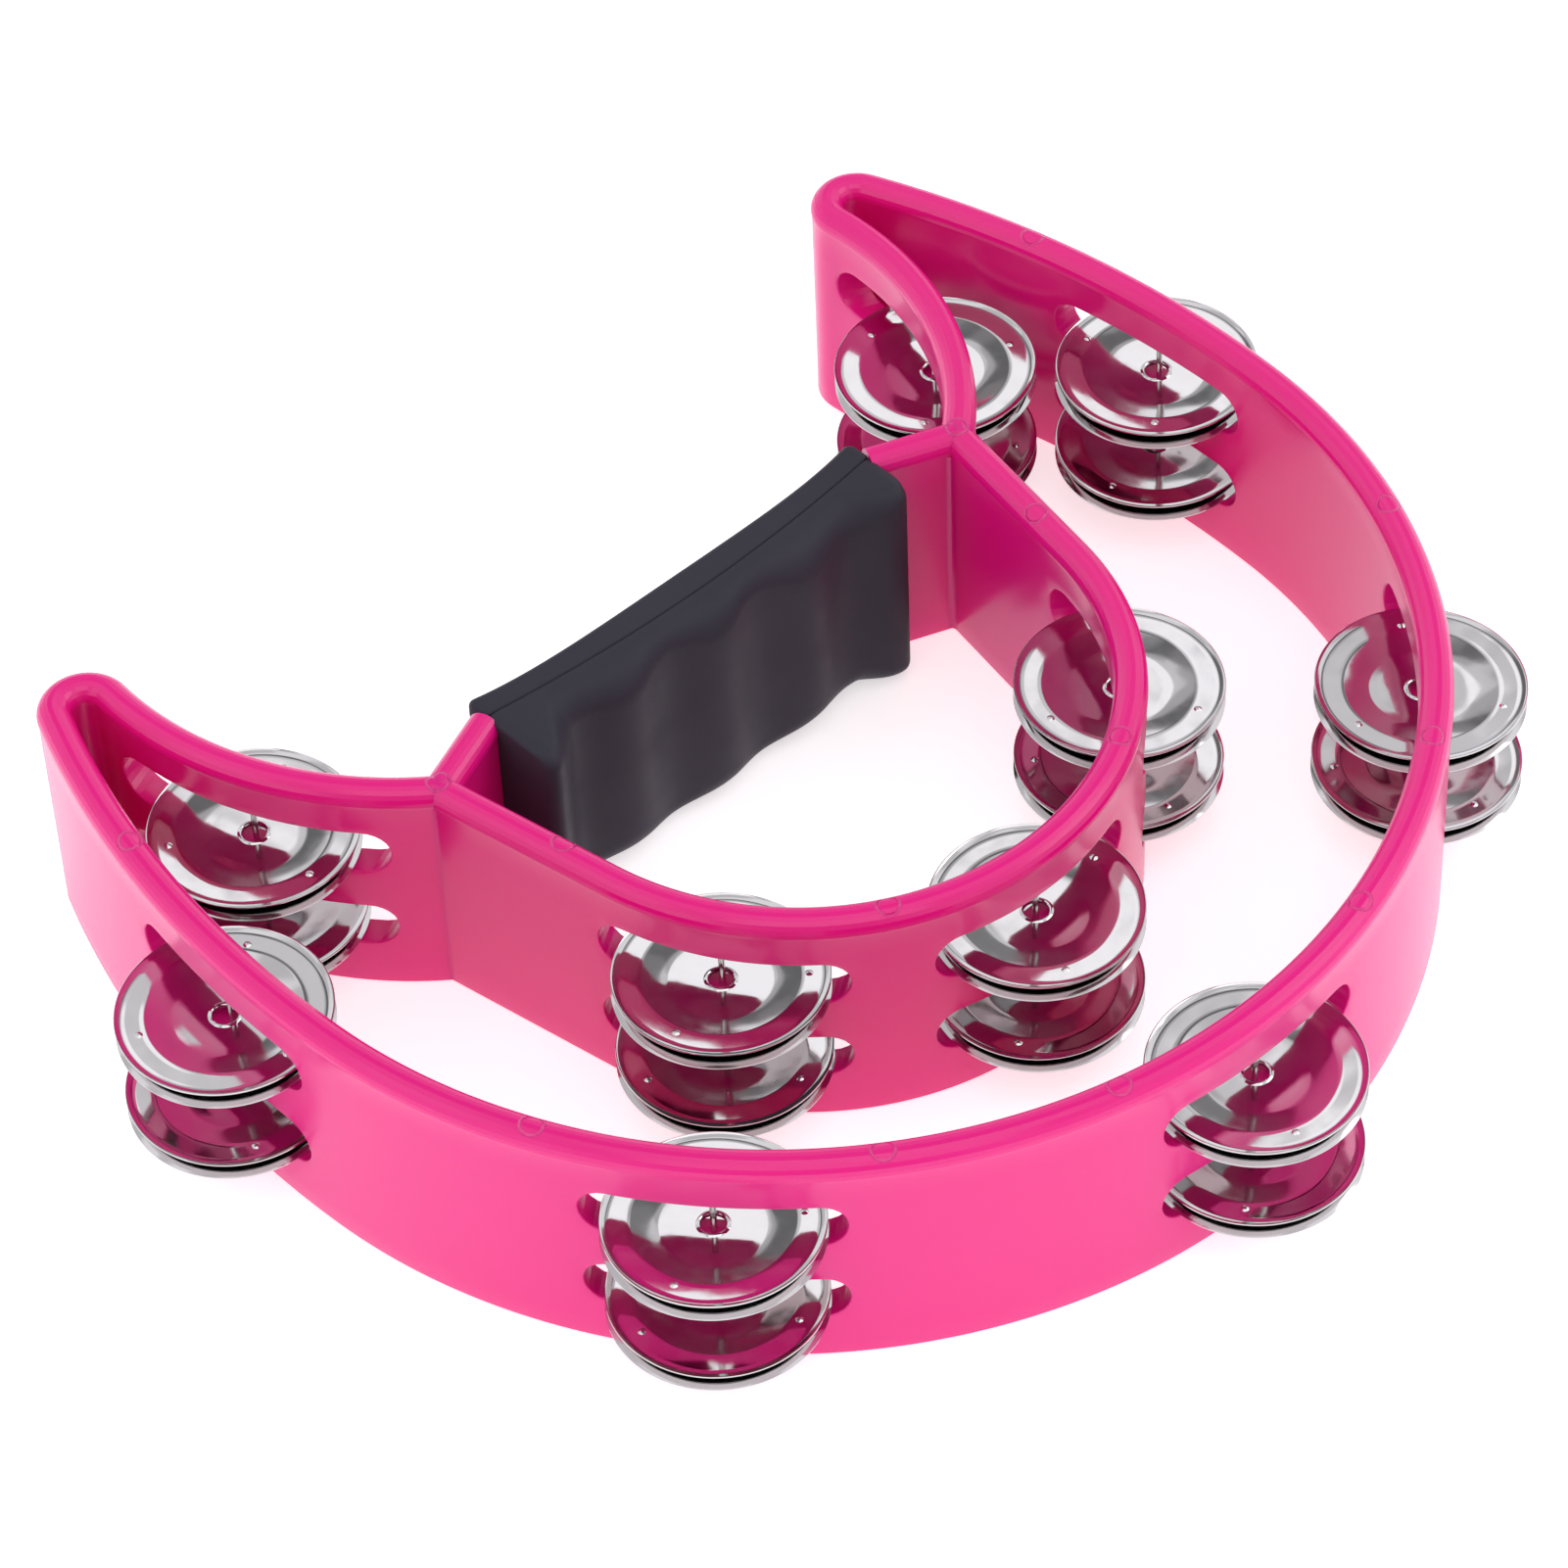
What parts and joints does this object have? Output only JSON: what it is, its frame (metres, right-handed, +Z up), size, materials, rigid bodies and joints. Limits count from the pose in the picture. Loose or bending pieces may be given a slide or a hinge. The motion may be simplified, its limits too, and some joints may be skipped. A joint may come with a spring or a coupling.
{
  "type": "tambourine",
  "caption": "Half-moon hand tambourine: a moulded crescent frame with a hand loop, a finger grip and paired steel jingles loose on upright pins in two rows of slots.",
  "frame": {"origin": "middle of the plan, jingles included, on the floor plane under the walls", "axes": "+X runs along the handle to the right, -Y is the side the crescent bulges toward, +Y is the open side between the horns, +Z is up the walls"},
  "size_m": [0.2832, 0.2368, 0.052],
  "materials": {
    "pink_plastic": "glossy moulded hot pink plastic",
    "dark_grip": "satin charcoal soft-touch grip",
    "pin_wire": "drawn steel wire",
    "jingle_steel": "bright plated pressed steel"
  },
  "bodies": {
    "handle_frame": {"frame": "pink_plastic", "grip_front": "dark_grip", "grip_back": "dark_grip", "jingle_pin_01": "pin_wire", "jingle_pin_02": "pin_wire", "jingle_pin_03": "pin_wire", "jingle_pin_04": "pin_wire", "jingle_pin_05": "pin_wire", "jingle_pin_06": "pin_wire", "jingle_pin_07": "pin_wire", "jingle_pin_08": "pin_wire", "jingle_pin_09": "pin_wire", "jingle_pin_10": "pin_wire"},
    "jingle_01_low_under": {"jingle_01_low_under": "jingle_steel"},
    "jingle_01_low_over": {"jingle_01_low_over": "jingle_steel"},
    "jingle_01_high_under": {"jingle_01_high_under": "jingle_steel"},
    "jingle_01_high_over": {"jingle_01_high_over": "jingle_steel"},
    "jingle_02_low_under": {"jingle_02_low_under": "jingle_steel"},
    "jingle_02_low_over": {"jingle_02_low_over": "jingle_steel"},
    "jingle_02_high_under": {"jingle_02_high_under": "jingle_steel"},
    "jingle_02_high_over": {"jingle_02_high_over": "jingle_steel"},
    "jingle_03_low_under": {"jingle_03_low_under": "jingle_steel"},
    "jingle_03_low_over": {"jingle_03_low_over": "jingle_steel"},
    "jingle_03_high_under": {"jingle_03_high_under": "jingle_steel"},
    "jingle_03_high_over": {"jingle_03_high_over": "jingle_steel"},
    "jingle_04_low_under": {"jingle_04_low_under": "jingle_steel"},
    "jingle_04_low_over": {"jingle_04_low_over": "jingle_steel"},
    "jingle_04_high_under": {"jingle_04_high_under": "jingle_steel"},
    "jingle_04_high_over": {"jingle_04_high_over": "jingle_steel"},
    "jingle_05_low_under": {"jingle_05_low_under": "jingle_steel"},
    "jingle_05_low_over": {"jingle_05_low_over": "jingle_steel"},
    "jingle_05_high_under": {"jingle_05_high_under": "jingle_steel"},
    "jingle_05_high_over": {"jingle_05_high_over": "jingle_steel"},
    "jingle_06_low_under": {"jingle_06_low_under": "jingle_steel"},
    "jingle_06_low_over": {"jingle_06_low_over": "jingle_steel"},
    "jingle_06_high_under": {"jingle_06_high_under": "jingle_steel"},
    "jingle_06_high_over": {"jingle_06_high_over": "jingle_steel"},
    "jingle_07_low_under": {"jingle_07_low_under": "jingle_steel"},
    "jingle_07_low_over": {"jingle_07_low_over": "jingle_steel"},
    "jingle_07_high_under": {"jingle_07_high_under": "jingle_steel"},
    "jingle_07_high_over": {"jingle_07_high_over": "jingle_steel"},
    "jingle_08_low_under": {"jingle_08_low_under": "jingle_steel"},
    "jingle_08_low_over": {"jingle_08_low_over": "jingle_steel"},
    "jingle_08_high_under": {"jingle_08_high_under": "jingle_steel"},
    "jingle_08_high_over": {"jingle_08_high_over": "jingle_steel"},
    "jingle_09_low_under": {"jingle_09_low_under": "jingle_steel"},
    "jingle_09_low_over": {"jingle_09_low_over": "jingle_steel"},
    "jingle_09_high_under": {"jingle_09_high_under": "jingle_steel"},
    "jingle_09_high_over": {"jingle_09_high_over": "jingle_steel"},
    "jingle_10_low_under": {"jingle_10_low_under": "jingle_steel"},
    "jingle_10_low_over": {"jingle_10_low_over": "jingle_steel"},
    "jingle_10_high_under": {"jingle_10_high_under": "jingle_steel"},
    "jingle_10_high_over": {"jingle_10_high_over": "jingle_steel"}
  },
  "joints": [
    {"name": "jingle_01_low_under_slide", "type": "slide", "parent": "handle_frame", "child": "jingle_01_low_under", "axis": [0, 0, 1], "range_m": [0, 0.003]},
    {"name": "jingle_01_low_over_slide", "type": "slide", "parent": "jingle_01_low_under", "child": "jingle_01_low_over", "axis": [0, 0, 1], "range_m": [0, 0.0028]},
    {"name": "jingle_01_high_under_slide", "type": "slide", "parent": "handle_frame", "child": "jingle_01_high_under", "axis": [0, 0, 1], "range_m": [0, 0.003]},
    {"name": "jingle_01_high_over_slide", "type": "slide", "parent": "jingle_01_high_under", "child": "jingle_01_high_over", "axis": [0, 0, 1], "range_m": [0, 0.0028]},
    {"name": "jingle_02_low_under_slide", "type": "slide", "parent": "handle_frame", "child": "jingle_02_low_under", "axis": [0, 0, 1], "range_m": [0, 0.003]},
    {"name": "jingle_02_low_over_slide", "type": "slide", "parent": "jingle_02_low_under", "child": "jingle_02_low_over", "axis": [0, 0, 1], "range_m": [0, 0.0028]},
    {"name": "jingle_02_high_under_slide", "type": "slide", "parent": "handle_frame", "child": "jingle_02_high_under", "axis": [0, 0, 1], "range_m": [0, 0.003]},
    {"name": "jingle_02_high_over_slide", "type": "slide", "parent": "jingle_02_high_under", "child": "jingle_02_high_over", "axis": [0, 0, 1], "range_m": [0, 0.0028]},
    {"name": "jingle_03_low_under_slide", "type": "slide", "parent": "handle_frame", "child": "jingle_03_low_under", "axis": [0, 0, 1], "range_m": [0, 0.003]},
    {"name": "jingle_03_low_over_slide", "type": "slide", "parent": "jingle_03_low_under", "child": "jingle_03_low_over", "axis": [0, 0, 1], "range_m": [0, 0.0028]},
    {"name": "jingle_03_high_under_slide", "type": "slide", "parent": "handle_frame", "child": "jingle_03_high_under", "axis": [0, 0, 1], "range_m": [0, 0.003]},
    {"name": "jingle_03_high_over_slide", "type": "slide", "parent": "jingle_03_high_under", "child": "jingle_03_high_over", "axis": [0, 0, 1], "range_m": [0, 0.0028]},
    {"name": "jingle_04_low_under_slide", "type": "slide", "parent": "handle_frame", "child": "jingle_04_low_under", "axis": [0, 0, 1], "range_m": [0, 0.003]},
    {"name": "jingle_04_low_over_slide", "type": "slide", "parent": "jingle_04_low_under", "child": "jingle_04_low_over", "axis": [0, 0, 1], "range_m": [0, 0.0028]},
    {"name": "jingle_04_high_under_slide", "type": "slide", "parent": "handle_frame", "child": "jingle_04_high_under", "axis": [0, 0, 1], "range_m": [0, 0.003]},
    {"name": "jingle_04_high_over_slide", "type": "slide", "parent": "jingle_04_high_under", "child": "jingle_04_high_over", "axis": [0, 0, 1], "range_m": [0, 0.0028]},
    {"name": "jingle_05_low_under_slide", "type": "slide", "parent": "handle_frame", "child": "jingle_05_low_under", "axis": [0, 0, 1], "range_m": [0, 0.003]},
    {"name": "jingle_05_low_over_slide", "type": "slide", "parent": "jingle_05_low_under", "child": "jingle_05_low_over", "axis": [0, 0, 1], "range_m": [0, 0.0028]},
    {"name": "jingle_05_high_under_slide", "type": "slide", "parent": "handle_frame", "child": "jingle_05_high_under", "axis": [0, 0, 1], "range_m": [0, 0.003]},
    {"name": "jingle_05_high_over_slide", "type": "slide", "parent": "jingle_05_high_under", "child": "jingle_05_high_over", "axis": [0, 0, 1], "range_m": [0, 0.0028]},
    {"name": "jingle_06_low_under_slide", "type": "slide", "parent": "handle_frame", "child": "jingle_06_low_under", "axis": [0, 0, 1], "range_m": [0, 0.003]},
    {"name": "jingle_06_low_over_slide", "type": "slide", "parent": "jingle_06_low_under", "child": "jingle_06_low_over", "axis": [0, 0, 1], "range_m": [0, 0.0028]},
    {"name": "jingle_06_high_under_slide", "type": "slide", "parent": "handle_frame", "child": "jingle_06_high_under", "axis": [0, 0, 1], "range_m": [0, 0.003]},
    {"name": "jingle_06_high_over_slide", "type": "slide", "parent": "jingle_06_high_under", "child": "jingle_06_high_over", "axis": [0, 0, 1], "range_m": [0, 0.0028]},
    {"name": "jingle_07_low_under_slide", "type": "slide", "parent": "handle_frame", "child": "jingle_07_low_under", "axis": [0, 0, 1], "range_m": [0, 0.003]},
    {"name": "jingle_07_low_over_slide", "type": "slide", "parent": "jingle_07_low_under", "child": "jingle_07_low_over", "axis": [0, 0, 1], "range_m": [0, 0.0028]},
    {"name": "jingle_07_high_under_slide", "type": "slide", "parent": "handle_frame", "child": "jingle_07_high_under", "axis": [0, 0, 1], "range_m": [0, 0.003]},
    {"name": "jingle_07_high_over_slide", "type": "slide", "parent": "jingle_07_high_under", "child": "jingle_07_high_over", "axis": [0, 0, 1], "range_m": [0, 0.0028]},
    {"name": "jingle_08_low_under_slide", "type": "slide", "parent": "handle_frame", "child": "jingle_08_low_under", "axis": [0, 0, 1], "range_m": [0, 0.003]},
    {"name": "jingle_08_low_over_slide", "type": "slide", "parent": "jingle_08_low_under", "child": "jingle_08_low_over", "axis": [0, 0, 1], "range_m": [0, 0.0028]},
    {"name": "jingle_08_high_under_slide", "type": "slide", "parent": "handle_frame", "child": "jingle_08_high_under", "axis": [0, 0, 1], "range_m": [0, 0.003]},
    {"name": "jingle_08_high_over_slide", "type": "slide", "parent": "jingle_08_high_under", "child": "jingle_08_high_over", "axis": [0, 0, 1], "range_m": [0, 0.0028]},
    {"name": "jingle_09_low_under_slide", "type": "slide", "parent": "handle_frame", "child": "jingle_09_low_under", "axis": [0, 0, 1], "range_m": [0, 0.003]},
    {"name": "jingle_09_low_over_slide", "type": "slide", "parent": "jingle_09_low_under", "child": "jingle_09_low_over", "axis": [0, 0, 1], "range_m": [0, 0.0028]},
    {"name": "jingle_09_high_under_slide", "type": "slide", "parent": "handle_frame", "child": "jingle_09_high_under", "axis": [0, 0, 1], "range_m": [0, 0.003]},
    {"name": "jingle_09_high_over_slide", "type": "slide", "parent": "jingle_09_high_under", "child": "jingle_09_high_over", "axis": [0, 0, 1], "range_m": [0, 0.0028]},
    {"name": "jingle_10_low_under_slide", "type": "slide", "parent": "handle_frame", "child": "jingle_10_low_under", "axis": [0, 0, 1], "range_m": [0, 0.003]},
    {"name": "jingle_10_low_over_slide", "type": "slide", "parent": "jingle_10_low_under", "child": "jingle_10_low_over", "axis": [0, 0, 1], "range_m": [0, 0.0028]},
    {"name": "jingle_10_high_under_slide", "type": "slide", "parent": "handle_frame", "child": "jingle_10_high_under", "axis": [0, 0, 1], "range_m": [0, 0.003]},
    {"name": "jingle_10_high_over_slide", "type": "slide", "parent": "jingle_10_high_under", "child": "jingle_10_high_over", "axis": [0, 0, 1], "range_m": [0, 0.0028]}
  ]
}
